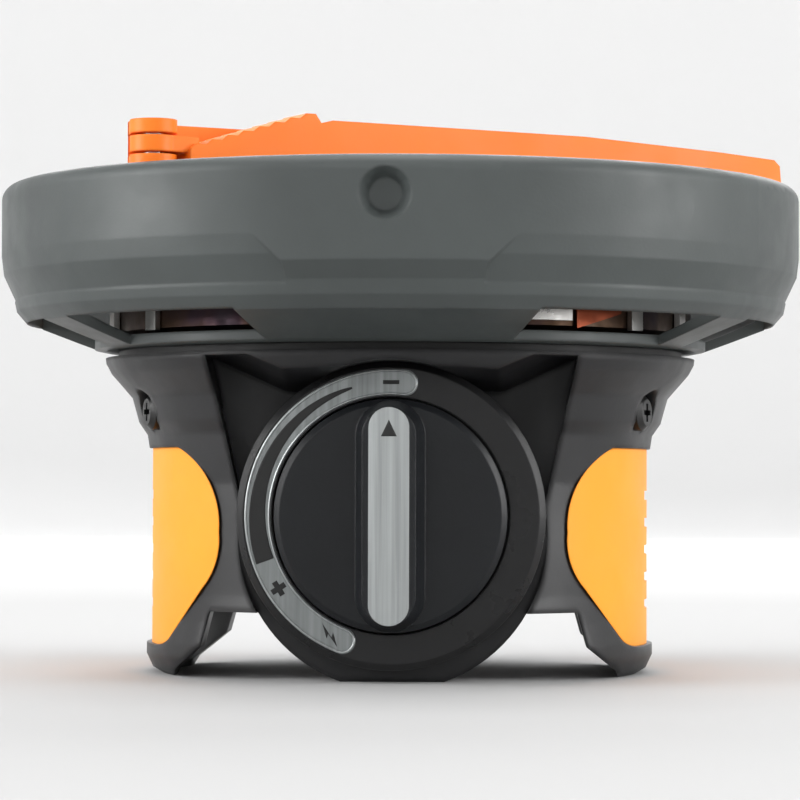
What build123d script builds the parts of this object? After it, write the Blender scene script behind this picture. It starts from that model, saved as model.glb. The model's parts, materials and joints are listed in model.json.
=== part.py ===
from build123d import *
import math
import os

# Burner base of a canister-top camping stove.
# Modelling heights are measured from the plane of the two feet; every part is lowered by THREAD_MOUTH
# when it is written, so that the origin is the mouth of the canister thread, on the burner axis.
# +X is to the right of the dial, -Y is the side of the dial, +Z is up towards the pot.
THREAD_MOUTH = 4.0

# Pot collar
COLLAR_R = 52.0
COLLAR_BORE_R = 49.6
RIM_Z = 62.8
FLOOR_LOW = 41.5
FLOOR_HIGH = 42.7
FLOOR_BORE_R = 30.0
SECTORS = 3
SEAM_AZIMUTH = -30.0
COLLAR_SCREW_RADIUS = 33.2
WINDOW_IN_R = 39.9
WINDOW_OUT_R = 48.7
WINDOW_SPANS = ((21.8, 55.5), (64.5, 98.2))
LUG_Z = 58.1
LUG_R = 4.2
DIMPLE_R = 3.15

# Body
FLANGE_R = 38.5
FLANGE_Z = 40.6
TOP_PLATE_LOW = 38.2
BODY_R = 32.0
BODY_BORE_R = 29.5
WEB_Z = 8.5
FRONT_WALL_FRONT = -20.0
FRONT_WALL_BACK = -18.0
SCREW_AZIMUTHS = (67.0, 113.0, -67.0, -113.0)
SCREW_POCKET_Z = 33.5
BASE_SCREWS = ((23.0, -9.0), (-23.0, -9.0), (0.0, 23.0))

# Dial
DIAL_Z = 20.5
BARREL_Z = 18.0
BARREL_R = 19.1
BEZEL_R = 18.9
BEZEL_FRONT = -31.0
BEZEL_BACK = -25.6
BEZEL_FLOOR = -27.2
DIAL_R = 14.2
DIAL_BACK = -27.5
DIAL_FACE = -33.0
BAR_FRONT = -38.0
BAR_LENGTH = 28.1
BAR_BASE_WIDTH = 8.6
BAR_RIDGE_WIDTH = 6.5
INSERT_LENGTH = 26.2
INSERT_WIDTH = 4.9
INSERT_DEPTH = 0.8
SCALE_IN_R = 14.7
SCALE_OUT_R = 17.9
SCALE_FROM = -6.0
SCALE_TO = 159.0
DIAL_SWEEP = 153.0
STOP_PIN_R = 1.2
STOP_RADIUS = 9.0

# Gas train
THREAD_R = 5.1
THREAD_TOP = 11.0
O_RING_R = 4.5
STEM_R = 2.5
STEM_END = -12.8
NEEDLE_R = 1.5
RUNNING = 0.05
VALVE_LOW = 12.0
VALVE_HIGH = 30.0
VALVE_HALF = 8.0
TUBE_R = 6.2
CUP_R = 24.0
CUP_RIM_Z = 57.5
POST_RADIUS = 20.0
SHIELD_Z = 42.7
SHROUD_R = 38.0
SHROUD_Z = 50.6

# Igniter, parallel to the dial axis and level with it
IGNITER_X = -13.0
IGNITER_R = 4.2
PLUNGER_R = 2.2
CAM_R = 15.6
CAM_MEAN_Y = -22.8
CAM_RISE = 1.0
ELECTRODE = (-26.3, -3.0)

# Canister stabilizer, folded, lying along a chord of the rim; u runs along its legs, v across them
REST_Z = 63.0
CHORD_ANGLE = 30.2
LEG_WIDTH = 6.4
LEG_V = -5.0
LEG_END_U = 49.8
HUB_LEFT = -43.0
HUB_RIGHT = -22.0
HUB_HEIGHT = 5.8
NEAR_PIVOT = (-41.0, -12.5)
FAR_PIVOT = (-29.0, 2.5)
EYE_R = 2.9
EYE_LOW = 1.8
EYE_HIGH = 3.8
EYE_CLEAR = 0.3
PIN_R = 1.2
RAMP_LENGTH = 17.1
RAMP_STEPS = 8
RAMP_FOOT = 2.2
RAMP_PEAK = 7.4


def disc(radius, low, high, x=0.0, y=0.0):
    return Pos(x, y, (low + high) / 2) * Cylinder(radius, high - low)


def tube(outer, inner, low, high, x=0.0, y=0.0):
    return disc(outer, low, high, x, y) - disc(inner, low - 1, high + 1, x, y)


def rod_y(radius, front, back, x=0.0, z=DIAL_Z):
    return Pos(x, (front + back) / 2, z) * Rot(90, 0, 0) * Cylinder(radius, back - front)


def turned(*points):
    """A body of revolution about the burner axis; its seam lies in a web between two vents."""
    return turn(revolve(Plane.XZ * make_face(Polyline(*points, close=True)), Axis.Z), SEAM_AZIMUTH)


def through_y(face, front, back):
    """A prism along Y from a face drawn in X and Z."""
    return Pos(0, front, 0) * extrude(Plane.XZ * face, amount=front - back)


def turn(shape, degrees):
    return Rot(0, 0, degrees) * shape


def arc_band(inner, outer, start, end, rounded=False):
    """A flat band between two radii; angles are counted from +Y, anticlockwise seen from above."""

    def at(radius, degrees):
        angle = math.radians(degrees + 90)
        return (radius * math.cos(angle), radius * math.sin(angle))

    middle = (start + end) / 2
    mean = (inner + outer) / 2
    half = math.degrees((outer - inner) / 2 / mean)
    out_edge = ThreePointArc(at(outer, start), at(outer, middle), at(outer, end))
    in_edge = ThreePointArc(at(inner, end), at(inner, middle), at(inner, start))
    if rounded:
        end_edge = ThreePointArc(at(outer, end), at(mean, end + half), at(inner, end))
        start_edge = ThreePointArc(at(inner, start), at(mean, start - half), at(outer, start))
    else:
        end_edge = Line(at(outer, end), at(inner, end))
        start_edge = Line(at(inner, start), at(outer, start))
    return make_face([out_edge, end_edge, in_edge, start_edge])


def pan_head_screw(head_r, shank_r, head_height, length):
    """Head on top of z = 0, shank below it, with a cross recess."""
    head = disc(head_r, 0, head_height)
    head = chamfer(head.edges().group_by(Axis.Z)[-1], head_height * 0.4)
    slot = Pos(0, 0, head_height) * Box(head_r, head_r * 0.28, head_height)
    return head + disc(shank_r, -length, 0) - slot - turn(slot, 90)


# ------------------------------------------------------------------ pot collar


def collar_ring():
    ring = turned(
        (COLLAR_BORE_R, RIM_Z),
        (COLLAR_R, RIM_Z),
        (COLLAR_R, 50.4),
        (50.4, 48.3),
        (50.0, 46.5),
        (48.6, 44.9),
        (43.8, 43.1),
        (40.2, 41.8),
        (38.7, FLOOR_LOW),
        (FLOOR_BORE_R, FLOOR_LOW),
        (FLOOR_BORE_R, FLOOR_HIGH),
        (39.2, FLOOR_HIGH),
        (43.2, 44.2),
        (47.4, 46.0),
        (48.5, 48.2),
        (49.0, 51.5),
        (COLLAR_BORE_R, 54.0),
    )
    rim = ring.edges().group_by(Axis.Z)[-1].sort_by(SortBy.LENGTH)
    ring = fillet(rim[-1], 1.9)
    ring = fillet(ring.edges().group_by(Axis.Z)[-1].sort_by(SortBy.LENGTH)[0], 0.4)
    waist = turned((53.0, 53.6), (COLLAR_R, 53.6), (51.7, 51.2), (50.2, 48.0), (50.6, 47.0), (53.0, 47.0))
    flare = [(11.2, 46.0), (12.1, 50.2), (16.8, 54.6)]
    shield = make_face(Polyline(*[(-x, z) for x, z in reversed(flare)], *flare, close=True))
    for index in range(SECTORS):
        waist = waist - turn(through_y(shield, -38, -58), index * 360 / SECTORS)
    ring = ring - waist
    windows = [extrude(arc_band(WINDOW_IN_R, WINDOW_OUT_R, a, b), amount=16) for a, b in WINDOW_SPANS]
    lug = Pos(0, -COLLAR_BORE_R, LUG_Z) * Rot(90, 0, 0) * Cylinder(LUG_R, 6.0)
    lug = chamfer(lug.edges().group_by(Axis.Y)[-1], 0.8) & disc(COLLAR_BORE_R + 1, 40, 70)
    dimple = Pos(0, 1.0 - COLLAR_R, LUG_Z) * Rot(90, 0, 0) * Cone(1.9, DIMPLE_R, 2.0)
    screw_hole = disc(1.6, 38, 46, 0, -COLLAR_SCREW_RADIUS)
    for index in range(SECTORS):
        angle = index * 360 / SECTORS
        ring = ring + turn(lug, angle)
        ring = ring - turn(dimple, angle) - turn(screw_hole, angle + 60)
    for index in range(SECTORS):
        for window in windows:
            ring = ring - turn(Pos(0, 0, 38) * window, index * 360 / SECTORS + 180)
    return ring


def collar_gasket():
    ring = tube(36.8, 31.0, FLANGE_Z, FLOOR_LOW)
    for index in range(SECTORS):
        ring = ring - turn(disc(1.6, 38, 46, 0, -COLLAR_SCREW_RADIUS), index * 360 / SECTORS + 60)
    return ring


def collar_screws():
    screw = Pos(0, -COLLAR_SCREW_RADIUS, SHIELD_Z + 0.7) * pan_head_screw(2.6, 1.5, 1.6, 4.6)
    return [turn(screw, index * 360 / SECTORS + 60) for index in range(SECTORS)]


# ------------------------------------------------------------------ body


def leg_outline_cut():
    """What is taken away between the two feet, seen from the front."""
    half = [(22.8, WEB_Z), (24.0, 4.2), (27.8, 1.0), (28.6, -1.0)]
    return make_face(Polyline(*half, *[(-x, z) for x, z in reversed(half)], close=True))


def brow_recess():
    """The hollow beside the dial; its ceiling drops from both sides to the brow and climbs outwards."""
    ceiling = [(-30, 43.4), (-13.5, 35.9), (13.5, 35.9), (30, 43.4)]
    back = Plane((0, FRONT_WALL_FRONT, 0), x_dir=(1, 0, 0), z_dir=(0, -1, 0))
    room = extrude(back * make_face(Polyline(*ceiling, (30, 10), (-30, 10), close=True)), amount=30, taper=-9)
    sides = make_face(Polyline((-22.8, 40.1), (-18.8, 22), (18.8, 22), (22.8, 40.1), close=True))
    return room & through_y(sides, -50, FRONT_WALL_FRONT)


def grip_outline():
    return make_face(
        [
            Polyline((30.6, 3.8), (34.5, 3.8), (34.5, 29.0), (27.4, 29.0)),
            ThreePointArc((27.4, 29.0), (23.3, 25.2), (21.6, 18.4)),
            ThreePointArc((21.6, 18.4), (22.0, 14.6), (23.8, 11.4)),
            Polyline((23.8, 11.4), (28.6, 4.8)),
            ThreePointArc((28.6, 4.8), (29.5, 4.1), (30.6, 3.8)),
        ]
    )


def grip_space(clear):
    """Room for the right-hand grip: a curved pad let into the leg column, front and back alike."""
    prism = through_y(grip_outline(), 40, -40)
    return (disc(BODY_R + 0.3 + clear, 0, 34) - disc(BODY_R - 1.3, -1, 35)) & prism


def body_shell():
    wall = turned(
        (TUBE_R, FLANGE_Z),
        (FLANGE_R, FLANGE_Z),
        (38.4, 39.9),
        (37.7, 38.6),
        (36.3, 37.0),
        (35.0, 35.5),
        (34.1, 32.3),
        (33.0, 30.7),
        (32.5, 27.6),
        (BODY_R, 24.5),
        (BODY_R, 10.5),
        (32.3, 7.1),
        (33.0, 4.2),
        (33.0, 2.4),
        (32.2, 0.7),
        (31.0, 0.0),
        (29.6, 0.0),
        (28.4, 1.2),
        (28.4, WEB_Z),
        (BODY_BORE_R, WEB_Z),
        (BODY_BORE_R, 30.0),
        (31.4, 34.0),
        (33.4, TOP_PLATE_LOW),
        (TUBE_R, TOP_PLATE_LOW),
    )
    wall = wall - through_y(leg_outline_cut(), 50, -50)
    brow = make_face(Polyline((-24, 34), (-24, FLANGE_Z), (24, FLANGE_Z), (24, 34), close=True))
    brow = through_y(brow, -37, FRONT_WALL_BACK)
    brow = brow & turned((0, 30), (32.8, 34), (34.6, 36.4), (37.2, FLANGE_Z), (0, FLANGE_Z))
    wall = wall + brow - brow_recess()
    barrel_room = rod_y(BARREL_R, -50, FRONT_WALL_FRONT, 0, BARREL_Z)
    wall = wall - barrel_room
    backing = Pos(0, (FRONT_WALL_FRONT + FRONT_WALL_BACK) / 2, (WEB_Z + TOP_PLATE_LOW) / 2)
    backing = backing * Box(52, FRONT_WALL_BACK - FRONT_WALL_FRONT, TOP_PLATE_LOW - WEB_Z)
    barrel = rod_y(BARREL_R, BEZEL_BACK, FRONT_WALL_BACK, 0, BARREL_Z)
    barrel = barrel & (Pos(0, 0, 30) * Box(60, 80, 60))
    body = wall + (backing & disc(BODY_BORE_R + 0.5, 0, 40)) + barrel
    body = body - rod_y(16.4, -40, FRONT_WALL_FRONT) - rod_y(BEZEL_R, -40, BEZEL_BACK)
    body = body - rod_y(6.4, -30, -10) - rod_y(PLUNGER_R + 0.4, -30, -10, IGNITER_X)
    for azimuth in SCREW_AZIMUTHS:
        pocket = Pos(0, -36.1, SCREW_POCKET_Z) * Rot(90, 0, 0) * Cylinder(2.9, 6.0)
        shank = Pos(0, -32.0, SCREW_POCKET_Z) * Rot(90, 0, 0) * Cylinder(1.2, 8.0)
        body = body - turn(pocket + shank, azimuth)
    for x in (-9.0, 0.0, 9.0):
        slot = Pos(x, 30, 24) * (Box(3.2, 12, 12) + Pos(0, 0, 6) * Rot(90, 0, 0) * Cylinder(1.6, 12))
        body = body - slot - disc(1.8, 36, 44, *ELECTRODE)
    body = body - grip_space(2) - turn(grip_space(2), 180)
    for index in range(SECTORS):
        body = body - turn(disc(1.5, 36, 44, 0, -COLLAR_SCREW_RADIUS), index * 360 / SECTORS + 60)
    return body


def grip(side):
    pad = grip_space(0)
    ribs = [Pos(BODY_R + 0.3, 0, z) * Box(1.0, 24, 1.2) for z in (9.0, 12.5, 16.0, 19.5, 23.0)]
    for rib in ribs:
        pad = pad - rib
    return pad if side > 0 else turn(pad, 180)


def body_screws():
    screw = Pos(0, -33.1, SCREW_POCKET_Z) * Rot(90, 0, 0) * pan_head_screw(2.3, 1.2, 1.5, 2.8)
    return [turn(screw, azimuth) for azimuth in SCREW_AZIMUTHS]


def base_cover():
    plate = disc(BODY_BORE_R, WEB_Z + 0.1, WEB_Z + 1.9)
    front = Pos(0, -40 + FRONT_WALL_BACK, 10) * Box(80, 80, 10)
    lip = tube(13.5, 9.5, 6.3, WEB_Z + 0.5)
    plate = plate - front - disc(9.5, 0, 20) + lip
    for x, y in BASE_SCREWS:
        boss = disc(3.8, WEB_Z + 1.0, WEB_Z + 4.4, x, y) & disc(BODY_BORE_R - 0.1, 0, 20)
        plate = plate + boss - disc(1.5, 0, 20, x, y) - disc(2.7, 0, WEB_Z + 2.4, x, y)
    return plate


def base_cover_screws():
    screw = Rot(180, 0, 0) * pan_head_screw(2.4, 1.4, 1.4, 5.0)
    return [Pos(x, y, WEB_Z + 2.4) * screw for x, y in BASE_SCREWS]


# ------------------------------------------------------------------ dial


def knob_bezel():
    ring = rod_y(BEZEL_R, BEZEL_FRONT, BEZEL_BACK)
    ring = chamfer(ring.edges().group_by(Axis.Y)[0], 0.8)
    ring = ring - rod_y(DIAL_R + 0.3, BEZEL_FRONT - 1, BEZEL_FLOOR)
    ring = ring - rod_y(3.4, -40, -20)
    margin = math.degrees((STOP_PIN_R + 0.3) / STOP_RADIUS)
    slot = arc_band(STOP_RADIUS - 1.5, STOP_RADIUS + 1.5, -margin, DIAL_SWEEP + margin)
    return ring - on_dial(slot, -40, -20) - on_dial(scale_outline(), BEZEL_FRONT - 1, BEZEL_FRONT + 0.5)


def on_dial(face, front, back):
    """A prism along Y from a face drawn about the dial centre, up the dial = +Z."""
    return Pos(0, back, DIAL_Z) * extrude(Plane.XZ * face, amount=back - front)


def scale_outline():
    return arc_band(SCALE_IN_R, SCALE_OUT_R, SCALE_FROM, SCALE_TO, True)


def scale_plate():
    return on_dial(scale_outline(), BEZEL_FRONT - 0.05, BEZEL_FRONT + 0.5)


def stadium(length, width):
    return Rot(0, 0, 90) * SlotOverall(length, width)


def knob_dial():
    dial = rod_y(DIAL_R, DIAL_FACE, DIAL_BACK)
    dial = chamfer(dial.edges().group_by(Axis.Y)[0], 0.7)
    bar_height = DIAL_FACE + 0.5 - BAR_FRONT
    taper = math.degrees(math.atan((BAR_BASE_WIDTH - BAR_RIDGE_WIDTH) / 2 / bar_height))
    foot = Plane((0, DIAL_FACE + 0.5, DIAL_Z), x_dir=(1, 0, 0), z_dir=(0, -1, 0))
    dial = dial + extrude(foot * stadium(BAR_LENGTH, BAR_BASE_WIDTH), amount=bar_height, taper=taper)
    dial = dial - on_dial(stadium(INSERT_LENGTH, INSERT_WIDTH), BAR_FRONT - 1, BAR_FRONT + INSERT_DEPTH)
    hollow = rod_y(DIAL_R - 1.8, -31.5, DIAL_BACK + 1) - rod_y(5.0, -40, -20)
    pin_at = (0, DIAL_Z + STOP_RADIUS)
    dial = dial - hollow + rod_y(STOP_PIN_R + 0.8, -31.5, DIAL_BACK, *pin_at)
    dial = dial + rod_y(STOP_PIN_R, DIAL_BACK - 1, BEZEL_BACK - 0.4, *pin_at)
    screw_room = rod_y(1.3, -40, -20) + rod_y(2.1, -40, -35.6)
    dial = dial - screw_room
    return dial - rod_y(STEM_R, -33.5, -20)


def knob_insert():
    return on_dial(stadium(INSERT_LENGTH, INSERT_WIDTH), BAR_FRONT, BAR_FRONT + INSERT_DEPTH)


def knob_screw():
    return Pos(0, -35.6, DIAL_Z) * Rot(90, 0, 0) * pan_head_screw(2.0, 1.2, 1.2, 5.0)


def knob_stem():
    return rod_y(STEM_R, -33.5, STEM_END) - rod_y(1.3, -34, -30)


def knob_seal():
    return rod_y(3.4, -27.1, -25.9) - rod_y(STEM_R + RUNNING, -30, -20)


def igniter_cam():
    """A swash plate: its back face leans, so its thickest side pushes the plunger as the dial turns."""
    cam = rod_y(CAM_R, -25.1, -19.0) - rod_y(STEM_R, -30, -10)
    lean = CAM_RISE / abs(IGNITER_X)
    thick_side = math.radians(DIAL_SWEEP / 2)
    normal = Vector(-lean * math.sin(thick_side), 1, -lean * math.cos(thick_side))
    cut = Plane(origin=(0, CAM_MEAN_Y, DIAL_Z), z_dir=normal)
    return split(cam, bisect_by=cut, keep=Keep.BOTTOM)


# ------------------------------------------------------------------ gas train


def canister_connector():
    socket = disc(9.4, THREAD_MOUTH, VALVE_LOW + 1.0)
    socket = socket - disc(THREAD_R, 0, THREAD_TOP) - disc(O_RING_R, 10, THREAD_TOP + 1.2) - disc(3.0, 10, 20)
    return chamfer(socket.edges().group_by(Axis.Z)[0].sort_by(SortBy.LENGTH)[-1], 0.6)


def connector_o_ring():
    return tube(O_RING_R, 3.0, THREAD_TOP + 0.02, THREAD_TOP + 1.2)


def depressor_pin():
    return disc(2.4, 12.3, 14.0) + disc(0.9, THREAD_TOP + 0.3, 12.3)


def gas_filter():
    return disc(2.4, 14.0, 16.0) - disc(0.8, 13, 17)


def valve_body():
    size = 2 * VALVE_HALF
    block = Pos(0, 0, (VALVE_LOW + 1 + VALVE_HIGH) / 2) * Box(size, size + 3, VALVE_HIGH - VALVE_LOW - 1)
    block = chamfer(block.edges().filter_by(Axis.Z), 1.5)
    block = block - disc(2.4, 10, 16) - disc(1.2, 10, DIAL_Z)
    block = block - rod_y(NEEDLE_R + RUNNING, -12, -1.0) - rod_y(0.5, -2, 0.5)
    block = block - rod_y(4.0, -12, -6.0)
    block = block - disc(1.2, DIAL_Z, 27, 0, -4) - (Pos(0, -2, 26.5) * Box(2.4, 4, 2.4))
    return block - disc(1.2, 26, 29) - disc(STEM_R, 28, 31)


def needle_packing_nut():
    nut = Pos(0, -13.8, DIAL_Z) * Rot(90, 0, 0) * extrude(RegularPolygon(5.6, 6), amount=2.0, both=True)
    nut = nut + rod_y(4.0, -12, -8.2)
    return nut - rod_y(STEM_R + RUNNING, -20, -12) - rod_y(NEEDLE_R + RUNNING, -13, -5)


def needle_o_ring():
    return rod_y(4.0, -8.2, -6.0) - rod_y(NEEDLE_R + RUNNING, -20, 0)


def needle():
    tip = Pos(0, -1.9, DIAL_Z) * Rot(90, 0, 0) * Cone(0.35, 1.4, 2.4)
    return rod_y(NEEDLE_R, -11.6, -3.0) + tip


def gas_jet():
    jet = disc(STEM_R, 28.2, VALVE_HIGH) + extrude(Pos(0, 0, VALVE_HIGH) * RegularPolygon(4.0, 6), amount=2.4)
    return jet + disc(1.9, VALVE_HIGH, 33.8) - disc(0.3, 28, 35) - disc(1.2, 28, 32.6)


def mixing_tube():
    pipe = tube(TUBE_R, TUBE_R - 0.8, 35.0, 49.5)
    for angle in (45, 135):
        pipe = pipe - turn(Pos(0, 0, 37.0) * Rot(90, 0, 0) * Cylinder(1.25, 20), angle)
    return pipe


def burner_cup():
    return turned(
        (TUBE_R, 46.5),
        (7.0, 46.5),
        (7.0, 50.0),
        (CUP_R, 55.4),
        (CUP_R, CUP_RIM_Z),
        (CUP_R - 0.7, CUP_RIM_Z),
        (CUP_R - 0.7, 56.0),
        (TUBE_R, 50.6),
    )


def burner_port_plate():
    plate = disc(CUP_R - 0.7, 56.6, CUP_RIM_Z)
    holes = [disc(1.0, 56, 58)]
    for radius, count in ((6.5, 8), (11.5, 14), (16.5, 20), (21.0, 26)):
        holes += [turn(disc(0.75, 56, 58, radius), 360 * index / count) for index in range(count)]
    return plate - holes


def heat_shield():
    high = SHIELD_Z + 0.7
    inner = SHROUD_R - 0.6
    shield = turned(
        (8.0, SHIELD_Z),
        (SHROUD_R - 1.0, SHIELD_Z),
        (SHROUD_R, SHIELD_Z + 1.0),
        (SHROUD_R, SHROUD_Z - 1.2),
        (SHROUD_R + 1.0, SHROUD_Z),
        (inner + 0.6, SHROUD_Z),
        (inner, SHROUD_Z - 1.0),
        (inner, high + 0.8),
        (inner - 0.8, high),
        (8.0, high),
    )
    shield = shield - disc(2.4, 40, 50, *ELECTRODE)
    for index in range(SECTORS):
        shield = shield - turn(disc(1.6, 40, 50, 0, -COLLAR_SCREW_RADIUS), index * 360 / SECTORS + 60)
    return shield


def burner_posts():
    low = SHIELD_Z + 0.7
    post = disc(1.3, low, 53.6, 0, -POST_RADIUS) + disc(2.4, low, low + 0.8, 0, -POST_RADIUS)
    return [turn(post, index * 360 / SECTORS + 20) for index in range(SECTORS)]


# ------------------------------------------------------------------ igniter


def igniter_body():
    case = rod_y(IGNITER_R, -17.0, 9.0, IGNITER_X)
    return case - rod_y(PLUNGER_R + RUNNING, -20, -6.5, IGNITER_X)


def igniter_plunger():
    rod = rod_y(PLUNGER_R, -23.2, -9.0, IGNITER_X)
    return fillet(rod.edges().group_by(Axis.Y)[0], 1.2)


def electrode_insulator():
    x, y = ELECTRODE
    post = disc(1.8, 36.0, 53.5, x, y) - disc(0.5, 30, 60, x, y)
    return post


def electrode_tip():
    x, y = ELECTRODE
    path = FilletPolyline((x, y, 36.0), (x, y, 58.8), (x + 3.6, y, 58.8), radius=0.9)
    return sweep(Plane(origin=(x, y, 36.0), z_dir=(0, 0, 1)) * Circle(0.5), path=path)


LEAD_R = 0.9
LEAD_ROUTE = (
    (IGNITER_X, 9.0, DIAL_Z),
    (IGNITER_X, 14.5, DIAL_Z),
    (-17.5, 19.0, 24.0),
    (-23.0, 14.0, 28.5),
    (-26.0, 5.0, 31.0),
    (-26.3, -2.6, 32.4),
    (*ELECTRODE, 35.9),
)


def lead_radii(route):
    radii = []
    for before, corner, after in zip(route, route[1:], route[2:]):
        a = Vector(*corner) - Vector(*before)
        b = Vector(*after) - Vector(*corner)
        radii.append(0.45 * min(a.length, b.length) / math.tan(math.radians(a.get_angle(b)) / 2))
    return radii


def igniter_lead():
    radii = lead_radii(LEAD_ROUTE)
    print("igniter lead bend radii", [round(radius, 1) for radius in radii])
    path = FilletPolyline(*LEAD_ROUTE, radius=radii)
    lead = sweep(Plane(origin=LEAD_ROUTE[0], z_dir=(0, 1, 0)) * Circle(LEAD_R), path=path)
    print("igniter lead volume over section times length", lead.volume / (math.pi * LEAD_R**2 * path.length))
    return lead


# ------------------------------------------------------------------ stabilizer


def on_chord(shape):
    """From the stabilizer's own frame, u along its folded legs and v across them, to the rim."""
    return turn(shape, CHORD_ANGLE)


def plan(points, low, high):
    return Pos(0, 0, low) * extrude(make_face(Polyline(*points, close=True)), amount=high - low)


def knuckle(pivot, inner_v, slant):
    """The hub's fork round a swinging leg's eye: one plate under it and one over it."""
    u, v = pivot
    outline = [(u - EYE_R, v), (u + EYE_R, v), (u + EYE_R, inner_v), (u - EYE_R + slant, inner_v)]
    plates = [(REST_Z, REST_Z + EYE_LOW - EYE_CLEAR), (REST_Z + EYE_HIGH + EYE_CLEAR, REST_Z + HUB_HEIGHT)]
    fork = [disc(EYE_R, low, high, u, v) + plan(outline, low, high) for low, high in plates]
    return fork[0] + fork[1]


def stabilizer_hub():
    low_v, high_v = LEG_V - LEG_WIDTH / 2, LEG_V + LEG_WIDTH / 2
    near_web = NEAR_PIVOT[1] + EYE_R + EYE_CLEAR
    far_web = FAR_PIVOT[1] - EYE_R - EYE_CLEAR
    outline = [
        (HUB_LEFT, near_web),
        (NEAR_PIVOT[0] + EYE_R, near_web),
        (NEAR_PIVOT[0] + EYE_R, low_v),
        (HUB_RIGHT, low_v),
        (HUB_RIGHT, high_v),
        (FAR_PIVOT[0] + EYE_R, high_v),
        (FAR_PIVOT[0] + EYE_R, far_web),
        (FAR_PIVOT[0] - EYE_R, far_web),
        (FAR_PIVOT[0] - EYE_R, high_v),
        (HUB_LEFT + 4.3, high_v),
    ]
    hub = plan(outline, REST_Z, REST_Z + HUB_HEIGHT)
    hub = hub + knuckle(NEAR_PIVOT, near_web + 1, HUB_LEFT - NEAR_PIVOT[0] + EYE_R + 0.4)
    hub = hub + knuckle(FAR_PIVOT, far_web - 1, 0)
    hub = hub + plan([(-48.5, -8.0), (-40.0, -8.0), (-40.0, -3.0), (-48.5, -3.0)], REST_Z - 2.4, REST_Z)
    hub = hub - Pos(HUB_RIGHT, LEG_V, REST_Z + 2.7) * Box(8.0, 3.0, 2.4)
    for u, v in (NEAR_PIVOT, FAR_PIVOT):
        hub = hub - disc(PIN_R, 60, 75, u, v)
    return on_chord(hub)


def leg_bar(start, v, ramp):
    """A leg's bar: an optional stepped thumb ramp, then a top that falls slowly to the hooked end."""
    top = [(start, REST_Z + 5.3), (start + RAMP_LENGTH + 2.0, REST_Z + 5.3)]
    if ramp:
        rise = (RAMP_PEAK - RAMP_FOOT) / RAMP_STEPS
        top = []
        for index in range(RAMP_STEPS):
            u = start + RAMP_LENGTH * index / RAMP_STEPS
            step = REST_Z + RAMP_FOOT + rise * index
            top += [(u, step), (u + 0.8, step + rise)]
        top += [(start + RAMP_LENGTH, REST_Z + RAMP_PEAK), (start + RAMP_LENGTH + 0.8, REST_Z + 6.3)]
    profile = make_face(
        Polyline(
            *top,
            (start + RAMP_LENGTH + 2.4, REST_Z + (6.7 if ramp else 5.3)),
            (LEG_END_U - 31.0, REST_Z + (6.6 if ramp else 5.2)),
            (LEG_END_U - 10.0, REST_Z + (5.6 if ramp else 4.9)),
            (LEG_END_U - 1.3, REST_Z + (5.0 if ramp else 4.6)),
            (LEG_END_U - 0.4, REST_Z + 4.2),
            (LEG_END_U, REST_Z),
            (LEG_END_U - 2.6, REST_Z),
            (LEG_END_U - 3.4, REST_Z + 1.6),
            (LEG_END_U - 7.0, REST_Z + 1.6),
            (LEG_END_U - 7.8, REST_Z),
            (start, REST_Z),
            close=True,
        )
    )
    return Pos(0, v, 0) * extrude(Plane.XZ * profile, amount=LEG_WIDTH / 2, both=True)


def stabilizer_leg_centre():
    tenon = Pos(HUB_RIGHT - 1.0, LEG_V, REST_Z + 2.7) * Box(6.0, 3.0, 2.4)
    return on_chord(leg_bar(HUB_RIGHT, LEG_V, False) + tenon)


def stabilizer_leg(pivot):
    u, v = pivot
    start = u + EYE_R + 0.6
    low, high = REST_Z + EYE_LOW, REST_Z + EYE_HIGH
    neck = Pos((u + start + 1.5) / 2, v, (low + high) / 2) * Box(start + 1.5 - u, 5.0, high - low)
    leg = disc(EYE_R, low, high, u, v) + neck + leg_bar(start, v, True)
    return on_chord(leg - disc(PIN_R + RUNNING, 60, 75, u, v))


def stabilizer_pivot_pins():
    low, high = REST_Z + 0.1, REST_Z + HUB_HEIGHT - 0.1
    return [on_chord(disc(PIN_R, low, high, u, v)) for u, v in (NEAR_PIVOT, FAR_PIVOT)]


# ------------------------------------------------------------------ writing

PARTS = {
    "collar_ring": collar_ring,
    "collar_gasket": collar_gasket,
    "collar_screws": collar_screws,
    "body_shell": body_shell,
    "grip_right": lambda: grip(1),
    "grip_left": lambda: grip(-1),
    "body_screws": body_screws,
    "base_cover": base_cover,
    "base_cover_screws": base_cover_screws,
    "knob_bezel": knob_bezel,
    "scale_plate": scale_plate,
    "knob_dial": knob_dial,
    "knob_insert": knob_insert,
    "knob_screw": knob_screw,
    "knob_stem": knob_stem,
    "knob_seal": knob_seal,
    "igniter_cam": igniter_cam,
    "canister_connector": canister_connector,
    "connector_o_ring": connector_o_ring,
    "depressor_pin": depressor_pin,
    "gas_filter": gas_filter,
    "valve_body": valve_body,
    "needle_packing_nut": needle_packing_nut,
    "needle_o_ring": needle_o_ring,
    "needle": needle,
    "gas_jet": gas_jet,
    "mixing_tube": mixing_tube,
    "burner_cup": burner_cup,
    "burner_port_plate": burner_port_plate,
    "heat_shield": heat_shield,
    "burner_posts": burner_posts,
    "igniter_body": igniter_body,
    "igniter_plunger": igniter_plunger,
    "electrode_insulator": electrode_insulator,
    "electrode_tip": electrode_tip,
    "igniter_lead": igniter_lead,
    "stabilizer_hub": stabilizer_hub,
    "stabilizer_leg_centre": stabilizer_leg_centre,
    "stabilizer_leg_left": lambda: stabilizer_leg(FAR_PIVOT),
    "stabilizer_leg_right": lambda: stabilizer_leg(NEAR_PIVOT),
    "stabilizer_pivot_pins": stabilizer_pivot_pins,
}

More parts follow.
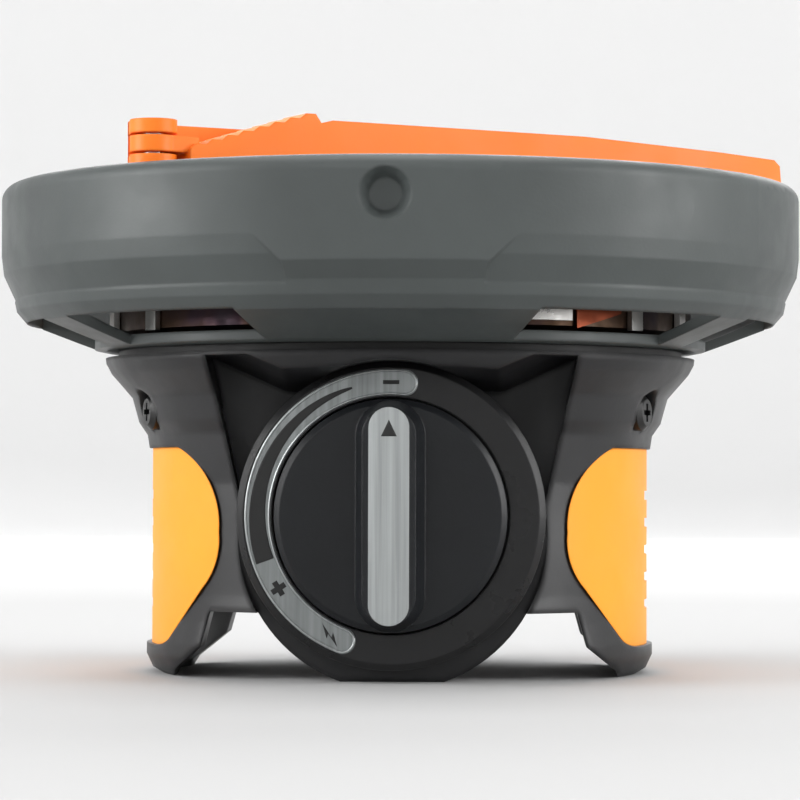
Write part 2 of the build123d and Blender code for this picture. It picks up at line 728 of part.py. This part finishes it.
os.makedirs("parts", exist_ok=True)
for name, make in PARTS.items():
    made = make()
    pieces = made if isinstance(made, list) else [made]
    solids = [solid for piece in pieces for solid in piece.solids()]
    lowered = [Pos(0, 0, -THREAD_MOUTH) * solid for solid in solids]
    export_step(lowered[0] if len(lowered) == 1 else Compound(children=lowered), f"parts/{name}.step")
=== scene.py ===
import json
import math

import bmesh
import bpy
from mathutils import Matrix, Vector


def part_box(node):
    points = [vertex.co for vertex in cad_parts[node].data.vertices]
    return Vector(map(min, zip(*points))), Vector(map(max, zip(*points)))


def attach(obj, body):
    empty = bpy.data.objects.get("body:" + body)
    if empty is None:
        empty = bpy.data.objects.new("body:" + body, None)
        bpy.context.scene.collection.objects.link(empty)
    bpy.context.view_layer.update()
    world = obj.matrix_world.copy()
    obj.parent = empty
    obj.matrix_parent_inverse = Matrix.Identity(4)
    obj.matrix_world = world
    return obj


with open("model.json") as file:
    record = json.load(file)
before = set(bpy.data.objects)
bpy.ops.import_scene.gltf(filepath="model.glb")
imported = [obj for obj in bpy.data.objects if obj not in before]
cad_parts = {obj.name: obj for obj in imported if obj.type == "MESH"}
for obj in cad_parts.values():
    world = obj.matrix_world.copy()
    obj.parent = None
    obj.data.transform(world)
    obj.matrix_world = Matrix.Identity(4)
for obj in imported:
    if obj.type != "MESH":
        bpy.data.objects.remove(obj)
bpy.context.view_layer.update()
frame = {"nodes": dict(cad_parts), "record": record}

MM = 0.001

# Places taken from the frame
bezel_low, bezel_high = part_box("knob_bezel")
insert_low, insert_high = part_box("knob_insert")
DIAL_Z = (bezel_low.z + bezel_high.z) / 2
FLOOR_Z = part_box("body_shell")[0].z
PLATE_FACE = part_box("scale_plate")[0].y
SOCKET_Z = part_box("canister_connector")[0].z


# ------------------------------------------------------------------ materials
# Colours are linear; radii, depths and distances are in metres


class Material:
    """A principled material with a few procedural layers, all in object space."""

    BEVEL_SAMPLES = 4
    NOISE_ROUGHNESS = 0.55

    def __init__(self, name, base, roughness, metallic=0.0):
        self.material = bpy.data.materials.new(name)
        self.material.use_nodes = True
        self.nodes = self.material.node_tree.nodes
        self.links = self.material.node_tree.links
        self.shader = self.nodes["Principled BSDF"]
        self.shader.inputs["Base Color"].default_value = (*base, 1)
        self.shader.inputs["Roughness"].default_value = roughness
        self.shader.inputs["Metallic"].default_value = metallic
        self.base = base
        self.normal = None
        self.place = self.nodes.new("ShaderNodeTexCoord").outputs["Object"]

    def soft_edges(self, radius):
        """Shades sharp edges as if they had a small radius."""
        bevel = self.nodes.new("ShaderNodeBevel")
        bevel.samples = self.BEVEL_SAMPLES
        bevel.inputs["Radius"].default_value = radius
        self.normal = bevel.outputs["Normal"]
        self.links.new(self.normal, self.shader.inputs["Normal"])

    def noise(self, scale, detail, stretch=(1, 1, 1)):
        mapping = self.nodes.new("ShaderNodeMapping")
        mapping.inputs["Scale"].default_value = stretch
        self.links.new(self.place, mapping.inputs["Vector"])
        texture = self.nodes.new("ShaderNodeTexNoise")
        texture.inputs["Scale"].default_value = scale
        texture.inputs["Detail"].default_value = detail
        texture.inputs["Roughness"].default_value = self.NOISE_ROUGHNESS
        self.links.new(mapping.outputs["Vector"], texture.inputs["Vector"])
        return texture.outputs["Fac"]

    def tone_spread(self, value, dark, light, start=0.3, end=0.7):
        """The base colour times dark where the value is start, and times light where it is end."""
        ramp = self.nodes.new("ShaderNodeValToRGB")
        ramp.color_ramp.elements[0].position = start
        ramp.color_ramp.elements[0].color = (*[c * dark for c in self.base], 1)
        ramp.color_ramp.elements[1].position = end
        ramp.color_ramp.elements[1].color = (*[min(1, c * light) for c in self.base], 1)
        self.links.new(value, ramp.inputs["Fac"])
        self.links.new(ramp.outputs["Color"], self.shader.inputs["Base Color"])

    def vary_roughness(self, value, low, high, start=0.35, end=0.65):
        """The roughness goes from low to high as the value goes from start to end."""
        ramp = self.nodes.new("ShaderNodeMapRange")
        ramp.inputs["From Min"].default_value = start
        ramp.inputs["From Max"].default_value = end
        ramp.inputs["To Min"].default_value = low
        ramp.inputs["To Max"].default_value = high
        self.links.new(value, ramp.inputs["Value"])
        self.links.new(ramp.outputs["Result"], self.shader.inputs["Roughness"])

    def bump(self, value, distance, strength):
        """Adds a bump on top of those already there."""
        bump = self.nodes.new("ShaderNodeBump")
        bump.inputs["Strength"].default_value = strength
        bump.inputs["Distance"].default_value = distance
        self.links.new(value, bump.inputs["Height"])
        if self.normal is not None:
            self.links.new(self.normal, bump.inputs["Normal"])
        self.normal = bump.outputs["Normal"]
        self.links.new(self.normal, self.shader.inputs["Normal"])


def moulded(name, base, roughness, grain=2600.0, depth=0.00003, tone_spread=0.12, edge=0.0003, gloss=0.36):
    """Plastic with a fine grain and slow waves; grain is the scale of the grain's noise."""
    made = Material(name, base, roughness)
    made.soft_edges(edge)
    made.shader.inputs["Specular IOR Level"].default_value = gloss
    made.tone_spread(made.noise(scale=55.0, detail=4.0), 1 - tone_spread, 1 + tone_spread)
    made.vary_roughness(made.noise(scale=140.0, detail=5.0), roughness - 0.05, roughness + 0.07)
    made.bump(made.noise(grain, detail=2.0), depth, strength=0.35)
    made.bump(made.noise(scale=90.0, detail=2.0), distance=0.00025, strength=0.06)
    return made.material


def rubber(name, base):
    made = moulded(name, base, roughness=0.55, grain=3200.0, depth=0.00004, tone_spread=0.05)
    made.node_tree.nodes["Principled BSDF"].inputs["Sheen Weight"].default_value = 0.12
    return made


def brushed(name, base, roughness):
    """Metal with fine upright lines."""
    upright = (1, 1, 0.02)
    contrast = 0.22
    made = Material(name, base, roughness, metallic=1.0)
    lines = made.noise(scale=1600.0, detail=3.0, stretch=upright)
    made.tone_spread(lines, 1 - contrast, 1 + contrast * 0.6)
    streaks = made.noise(scale=900.0, detail=2.0, stretch=upright)
    made.vary_roughness(streaks, roughness - 0.08, roughness + 0.12)
    made.bump(lines, distance=0.00002, strength=0.5)
    return made.material


def metal(name, base, roughness, turned=False):
    """Plain metal; turned metal has fine level rings."""
    made = Material(name, base, roughness, metallic=1.0)
    made.soft_edges(radius=0.00015)
    made.tone_spread(made.noise(scale=120.0, detail=5.0), dark=0.82, light=1.08)
    made.vary_roughness(made.noise(scale=420.0, detail=4.0), roughness - 0.07, roughness + 0.12)
    stretch = (1, 1, 9) if turned else (1, 1, 1)
    made.bump(made.noise(scale=1500.0, detail=2.0, stretch=stretch), distance=0.00002, strength=0.4)
    return made.material


# Where each tint stands on the noise, and its factors on the base colour
HEAT_TINTS = (
    (0.30, (0.62, 0.55, 0.50)),
    (0.46, (0.70, 0.48, 0.32)),
    (0.58, (0.42, 0.30, 0.40)),
    (0.72, (0.52, 0.56, 0.66)),
)


def heat_tinted(name, base):
    """Steel that has been in the flame: straw and blue tints in soft clouds."""
    made = Material(name, base, roughness=0.34, metallic=1.0)
    ramp = made.nodes.new("ShaderNodeValToRGB")
    elements = ramp.color_ramp.elements
    while len(elements) < len(HEAT_TINTS):
        elements.new(0.5)  # moved to its place below
    for element, (position, tint) in zip(elements, HEAT_TINTS):
        element.position = position
        element.color = (*[c * t for c, t in zip(base, tint)], 1)
    made.links.new(made.noise(scale=70.0, detail=4.0), ramp.inputs["Fac"])
    made.links.new(ramp.outputs["Color"], made.shader.inputs["Base Color"])
    made.vary_roughness(made.noise(scale=500.0, detail=4.0), low=0.28, high=0.48)
    made.bump(made.noise(scale=1200.0, detail=2.0), distance=0.00002, strength=0.4)
    return made.material


def ceramic(name, base):
    made = Material(name, base, roughness=0.22)
    made.shader.inputs["Coat Weight"].default_value = 0.5
    made.tone_spread(made.noise(scale=200.0, detail=3.0), dark=0.94, light=1.03)
    made.bump(made.noise(scale=600.0, detail=2.0), distance=0.00003, strength=0.2)
    return made.material


# One look for each material slot of the CAD nodes
MATERIALS = {
    "collar_plastic": moulded("collar_plastic_look", (0.058, 0.066, 0.065), 0.44, edge=0.0005),
    "body_plastic": moulded("body_plastic_look", (0.0125, 0.0125, 0.0135), 0.40, edge=0.0012),
    "bezel_plastic": moulded("bezel_plastic_look", (0.0095, 0.0095, 0.0100), 0.30, depth=0.00001, gloss=0.3),
    "dial_plastic": moulded("dial_plastic_look", (0.0095, 0.0105, 0.0120), 0.34, gloss=0.25),
    "black_plastic": moulded("black_plastic_look", (0.015, 0.015, 0.015), 0.45),
    "white_plastic": moulded("white_plastic_look", (0.72, 0.71, 0.67), 0.40),
    "orange_grip": rubber("orange_grip_look", (0.98, 0.330, 0.008)),
    "orange_plastic": moulded("orange_plastic_look", (0.98, 0.195, 0.008), 0.46, tone_spread=0.05, edge=0.0004),
    "silver_trim": brushed("silver_trim_look", (0.40, 0.42, 0.42), 0.36),
    "steel": metal("steel_look", (0.56, 0.55, 0.53), 0.32),
    "burner_steel": heat_tinted("burner_steel_look", (0.26, 0.25, 0.24)),
    "black_steel": metal("black_steel_look", (0.05, 0.05, 0.05), 0.38),
    "aluminium": metal("aluminium_look", (0.74, 0.74, 0.75), 0.30, turned=True),
    "brass": metal("brass_look", (0.76, 0.54, 0.24), 0.30, turned=True),
    "black_rubber": rubber("black_rubber_look", (0.014, 0.014, 0.014)),
    "lead_rubber": rubber("lead_rubber_look", (0.03, 0.03, 0.03)),
    "ceramic_white": ceramic("ceramic_white_look", (0.80, 0.78, 0.73)),
}

# Nodes that are darker than the look of their slot
OWN_LOOK = {
    "scale_plate": brushed("scale_plate_look", (0.24, 0.255, 0.255), 0.40),
    # Painted shade: the heat shield's base is made very dark to stand for the shadowed inside of the collar
    # seen through the vents; its heat tints are its own
    "heat_shield": heat_tinted("heat_shield_painted_shade_look", (0.075, 0.065, 0.062)),
}


def dress_cad_nodes():
    slots = {part["node"]: part["material_slot"] for part in frame["record"]["subparts"]}
    for name, node in frame["nodes"].items():
        node.data.materials.clear()
        node.data.materials.append(OWN_LOOK.get(name) or MATERIALS[slots[name]])


# ------------------------------------------------------------------ object and mesh helpers


def placed(name, data):
    holder = bpy.data.objects.new(name, data)
    bpy.context.scene.collection.objects.link(holder)
    return holder


def add_piece(name, data, material, body):
    piece = placed(name, data)
    piece.data.materials.append(material)
    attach(piece, body)


def finished_mesh(name, build):
    bmesh.ops.recalc_face_normals(build, faces=build.faces)
    mesh = bpy.data.meshes.new(name)
    build.to_mesh(mesh)
    build.free()
    return mesh


def bridge(build, loops):
    """Faces from each closed loop of vertices to the next one."""
    for before, after in zip(loops, loops[1:]):
        for index in range(len(before)):
            following = (index + 1) % len(before)
            build.faces.new((before[index], before[following], after[following], after[index]))


def bar_mesh(name, build, sections):
    """A closed bar through its sections, each a loop of vertices."""
    bridge(build, sections)
    build.faces.new(reversed(sections[0]))
    build.faces.new(sections[-1])
    return finished_mesh(name, build)


# ------------------------------------------------------------------ dial markings
# Degrees go anticlockwise from 12 o'clock, as seen from the front

BAND_IN = 14.7 * MM
BAND_OUT = 17.9 * MM
BAND_MID = (BAND_IN + BAND_OUT) / 2

MARK_RISE = 0.04 * MM
POINTER_RISE = 0.03 * MM
MARK_ROOT = 0.10 * MM
INK = moulded("mark_ink_look", (0.012, 0.012, 0.012), 0.5)

# Signs in millimetres: x across the band's radius, then up, away from the dial's centre
MINUS_AT = 0
MINUS = ((-1.0, -0.24), (1.0, -0.24), (1.0, 0.24), (-1.0, 0.24))
PLUS_AT = 123
PLUS_ARM = 0.95
PLUS_HALF_WIDTH = 0.34
SPARK_AT = 153
SPARK = ((-1.5, 0.9), (0.25, -0.05), (0.15, 0.55), (1.5, -0.9), (-0.3, 0.15), (-0.2, -0.5))

WEDGE_START = 17
WEDGE_END = 110
WEDGE_STEPS = 48
WEDGE_THIN_HALF = 0.12
WEDGE_GROWTH = 1.02
WEDGE_CURVE = 0.7

POINTER_DROP = 1.5 * MM
POINTER_LENGTH = 2.0 * MM
POINTER_HALF_WIDTH = 0.95 * MM

BEAD_START = -6.0
BEAD_END = 159.0
BEAD_RADIUS = 0.16 * MM
BEAD_INSET = 0.18 * MM
BEAD_STEPS = 64
BEAD_END_STEPS = 8


def on_dial(radius, degrees):
    """A point on the dial's face plane, as x and z."""
    angle = math.radians(degrees)
    return (-radius * math.sin(angle), DIAL_Z + radius * math.cos(angle))


def plate(name, outline, front, back, body):
    """A thin ink plate facing -Y, from an outline of x and z."""
    build = bmesh.new()
    face = build.faces.new([build.verts.new((x, front, z)) for x, z in outline])
    extruded = bmesh.ops.extrude_face_region(build, geom=[face])
    for vertex in [v for v in extruded["geom"] if isinstance(v, bmesh.types.BMVert)]:
        vertex.co.y = back
    add_piece(name, finished_mesh(name, build), INK, body)


def sign_outline(points, degrees):
    """A sign at the middle of the band, turned with it."""
    angle = math.radians(degrees)
    out = []
    for across, up in points:
        radius = BAND_MID + up * MM
        x = -radius * math.sin(angle) + across * MM * math.cos(angle)
        z = DIAL_Z + radius * math.cos(angle) + across * MM * math.sin(angle)
        out.append((x, z))
    return out


def plus_points():
    arm = PLUS_ARM
    half = PLUS_HALF_WIDTH
    one_side = [(half, arm), (half, half), (arm, half), (arm, -half), (half, -half), (half, -arm)]
    return one_side + [(-x, -y) for x, y in one_side]


def wedge_outline():
    """A band that widens along its way, outer side first."""
    outer, inner = [], []
    for index in range(WEDGE_STEPS + 1):
        part = index / WEDGE_STEPS
        half = (WEDGE_THIN_HALF + WEDGE_GROWTH * part**WEDGE_CURVE) * MM
        degrees = WEDGE_START + (WEDGE_END - WEDGE_START) * part
        outer.append(on_dial(BAND_MID + half, degrees))
        inner.append(on_dial(BAND_MID - half, degrees))
    return outer + inner[::-1]


def dial_markings():
    marks = (
        ("mark_minus", sign_outline(MINUS, MINUS_AT)),
        ("mark_wedge", wedge_outline()),
        ("mark_plus", sign_outline(plus_points(), PLUS_AT)),
        ("mark_spark", sign_outline(SPARK, SPARK_AT)),
    )
    for name, outline in marks:
        plate(name, outline, PLATE_FACE - MARK_RISE, PLATE_FACE + MARK_ROOT, "base")
    tip = insert_high.z - POINTER_DROP
    low = tip - POINTER_LENGTH
    triangle = [(0, tip), (-POINTER_HALF_WIDTH, low), (POINTER_HALF_WIDTH, low)]
    face = insert_low.y
    plate("pointer_triangle", triangle, face - POINTER_RISE, face + MARK_ROOT, "dial")


def bead_side(radius, start, end):
    turn = end - start
    return [on_dial(radius, start + turn * index / BEAD_STEPS) for index in range(BEAD_STEPS + 1)]


def bead_end(degrees, first):
    """Half a circle round the middle of the band, without its two ends."""
    half = (BAND_OUT - BAND_IN) / 2 - BEAD_INSET
    x, z = on_dial(BAND_MID, degrees)
    out = []
    for index in range(1, BEAD_END_STEPS):
        angle = math.radians(degrees + first + 180 * index / BEAD_END_STEPS)
        out.append((x - half * math.sin(angle), z + half * math.cos(angle)))
    return out


def band_bead():
    """The bright raised rim round the scale plate, a closed bead."""
    points = bead_side(BAND_OUT - BEAD_INSET, BEAD_START, BEAD_END)
    points += bead_end(BEAD_END, 0)
    points += bead_side(BAND_IN + BEAD_INSET, BEAD_END, BEAD_START)
    points += bead_end(BEAD_START, 180)
    curve = bpy.data.curves.new("scale_bead", "CURVE")
    curve.dimensions = "3D"
    curve.bevel_depth = BEAD_RADIUS
    curve.bevel_resolution = 3
    spline = curve.splines.new("POLY")
    spline.points.add(len(points) - 1)
    for point, (x, z) in zip(spline.points, points):
        point.co = (x, PLATE_FACE, z, 1)
    spline.use_cyclic_u = True
    add_piece("scale_bead", curve, MATERIALS["silver_trim"], "base")


# ------------------------------------------------------------------ behind the vents
# Radii and heights above the feet in millimetres; degrees from the dial's side towards +X

STRIP_RADII = (38.1, 38.5)
CLIP_RADII = (38.1, 38.9)
STRIP_STEPS = 8
CLIP_AZIMUTH = 51
CLIP_HALF_WIDTH = 1.6


def curved_strip(name, radii, azimuths, heights, material, slant=0.0):
    """A bent strip just outside the heat shield's wall; its lower edge rises by slant on the way."""
    build = bmesh.new()
    sections = []
    for index in range(STRIP_STEPS + 1):
        part = index / STRIP_STEPS
        angle = math.radians(azimuths[0] + (azimuths[1] - azimuths[0]) * part)
        low = heights[0] + slant * part
        corners = ((radii[0], low), (radii[1], low), (radii[1], heights[1]), (radii[0], heights[1]))
        section = []
        for radius, z in corners:
            place = (radius * MM * math.sin(angle), -radius * MM * math.cos(angle), FLOOR_Z + z * MM)
            section.append(build.verts.new(place))
        sections.append(section)
    add_piece(name, bar_mesh(name, build, sections), material, "base")


def shield_fittings():
    copper = heat_tinted("tag_look", (0.24, 0.085, 0.06))
    steel = MATERIALS["steel"]
    curved_strip("shield_lap", STRIP_RADII, (21, 35), heights=(44.3, 50.0), material=steel)
    curved_strip("shield_tag", STRIP_RADII, (36, 47), heights=(43.4, 50.0), material=copper, slant=2.0)
    for sector in range(3):
        for side, word in ((-CLIP_AZIMUTH, "left"), (CLIP_AZIMUTH, "right")):
            middle = 120 * sector + side
            azimuths = (middle - CLIP_HALF_WIDTH, middle + CLIP_HALF_WIDTH)
            name = "shield_clip_%d_%s" % (sector + 1, word)
            curved_strip(name, CLIP_RADII, azimuths, heights=(43.4, 50.4), material=steel)


# ------------------------------------------------------------------ canister thread

THREADS_PER_INCH = 28
PITCH = 25.4 / THREADS_PER_INCH * MM
ROOT_R = 5.12 * MM
CREST_R = 4.72 * MM
THREAD_START = 0.5 * MM
TURNS = 6.5
TURN_STEPS = 48
FADE_STEPS = 24

# Half widths of a ridge, as shares of the pitch
ROOT_HALF = 0.42
CREST_HALF = 0.08


def connector_thread():
    """The thread's ridge, standing in from the socket's wall and fading out at both ends."""
    steps = int(TURNS * TURN_STEPS)
    build = bmesh.new()
    sections = []
    for index in range(steps + 1):
        angle = 2 * math.pi * index / TURN_STEPS
        z = SOCKET_Z + THREAD_START + PITCH * index / TURN_STEPS
        fade = min(1, index / FADE_STEPS, (steps - index) / FADE_STEPS)
        tip = ROOT_R - (ROOT_R - CREST_R) * fade
        corners = ((ROOT_R, -ROOT_HALF), (tip, -CREST_HALF), (tip, CREST_HALF), (ROOT_R, ROOT_HALF))
        section = []
        for radius, share in corners:
            place = (radius * math.cos(angle), radius * math.sin(angle), z + share * PITCH)
            section.append(build.verts.new(place))
        sections.append(section)
    mesh = bar_mesh("connector_thread", build, sections)
    add_piece("connector_thread", mesh, MATERIALS["aluminium"], "base")


# ------------------------------------------------------------------ stage, lights and camera
# Metres, watts and degrees

FLOOR_CENTRE_R = 0.3
FLOOR_R = 1.1
SWEEP_R = 0.5
SWEEP_STEPS = 12
WALL_TOP = 1.6
AROUND = 96

LIGHT_AIM = (0, 0, 0.03)
WORLD_STRENGTH = 0.42

SENSOR_MM = 36.0
LENS_MM = 148.14
DISTANCE = 432.0 * MM
CAMERA_HEIGHT = 24.4 * MM
YAW = 2.0
PITCH_UP = 1.46
ROLL = 0.15


def studio():
    """A round floor whose edge sweeps up into a wall on every side, with painted shade: darker near the
    object.
    """
    profile = [(FLOOR_CENTRE_R, 0.0), (FLOOR_R, 0.0)]
    for index in range(1, SWEEP_STEPS + 1):
        angle = math.pi / 2 * index / SWEEP_STEPS
        profile.append((FLOOR_R + SWEEP_R * math.sin(angle), SWEEP_R - SWEEP_R * math.cos(angle)))
    profile.append((FLOOR_R + SWEEP_R, WALL_TOP))
    build = bmesh.new()
    rings = []
    for radius, z in profile:
        ring = []
        for index in range(AROUND):
            angle = 2 * math.pi * index / AROUND
            ring.append(build.verts.new((radius * math.cos(angle), radius * math.sin(angle), FLOOR_Z + z)))
        rings.append(ring)
    build.faces.new(rings[0])
    bridge(build, rings)
    mesh = finished_mesh("studio_floor", build)
    for polygon in mesh.polygons:
        polygon.use_smooth = True
    floor = placed("studio_floor", mesh)
    pale = Material("studio_pale_painted_shade", base=(0.86, 0.86, 0.86), roughness=0.85)
    distance = pale.nodes.new("ShaderNodeVectorMath")
    distance.operation = "LENGTH"
    pale.links.new(pale.place, distance.inputs[0])
    # Painted shade: the floor's colour is darkest within a quarter metre of the object and reaches full pale
    # at a metre
    pale.tone_spread(distance.outputs["Value"], dark=0.52, light=1.0, start=0.25, end=1.0)
    floor.data.materials.append(pale.material)


def area_light(name, place, size, power):
    light = bpy.data.lights.new(name, "AREA")
    light.shape = "RECTANGLE"
    light.size, light.size_y = size
    light.energy = power
    holder = placed(name, light)
    holder.location = place
    holder.rotation_euler = (Vector(LIGHT_AIM) - Vector(place)).to_track_quat("-Z", "Y").to_euler()


def lights():
    area_light("side_left", place=(-0.95, -0.30, 0.38), size=(0.5, 0.7), power=9.5)
    area_light("side_right", place=(0.95, -0.26, 0.32), size=(0.5, 0.7), power=8.0)
    area_light("top", place=(0.0, 0.05, 0.95), size=(0.8, 0.8), power=6.0)
    area_light("back", place=(0.1, 0.85, 0.6), size=(0.9, 0.5), power=5.0)
    area_light("front", place=(-0.2, -1.0, 0.6), size=(0.6, 0.4), power=1.5)
    world = bpy.data.worlds.new("soft_world")
    world.use_nodes = True
    background = world.node_tree.nodes["Background"]
    background.inputs["Color"].default_value = (1, 1, 1, 1)
    background.inputs["Strength"].default_value = WORLD_STRENGTH
    bpy.context.scene.world = world
    bpy.context.scene.view_settings.view_transform = "Standard"


def camera():
    """In front of the dial, a little to its right, tilted up from level by PITCH_UP."""
    data = bpy.data.cameras.new("camera")
    data.sensor_width = SENSOR_MM
    data.lens = LENS_MM
    data.clip_start = 0.01
    holder = placed("camera", data)
    yaw = math.radians(YAW)
    place = Vector((DISTANCE * math.sin(yaw), -DISTANCE * math.cos(yaw), FLOOR_Z + CAMERA_HEIGHT))
    turn = Matrix.Rotation(yaw, 4, "Z") @ Matrix.Rotation(math.radians(90 + PITCH_UP), 4, "X")
    turn = turn @ Matrix.Rotation(math.radians(ROLL), 4, "Z")
    holder.matrix_world = Matrix.Translation(place) @ turn
    bpy.context.scene.camera = holder


camera()
dress_cad_nodes()
dial_markings()
band_bead()
shield_fittings()
connector_thread()
studio()
lights()
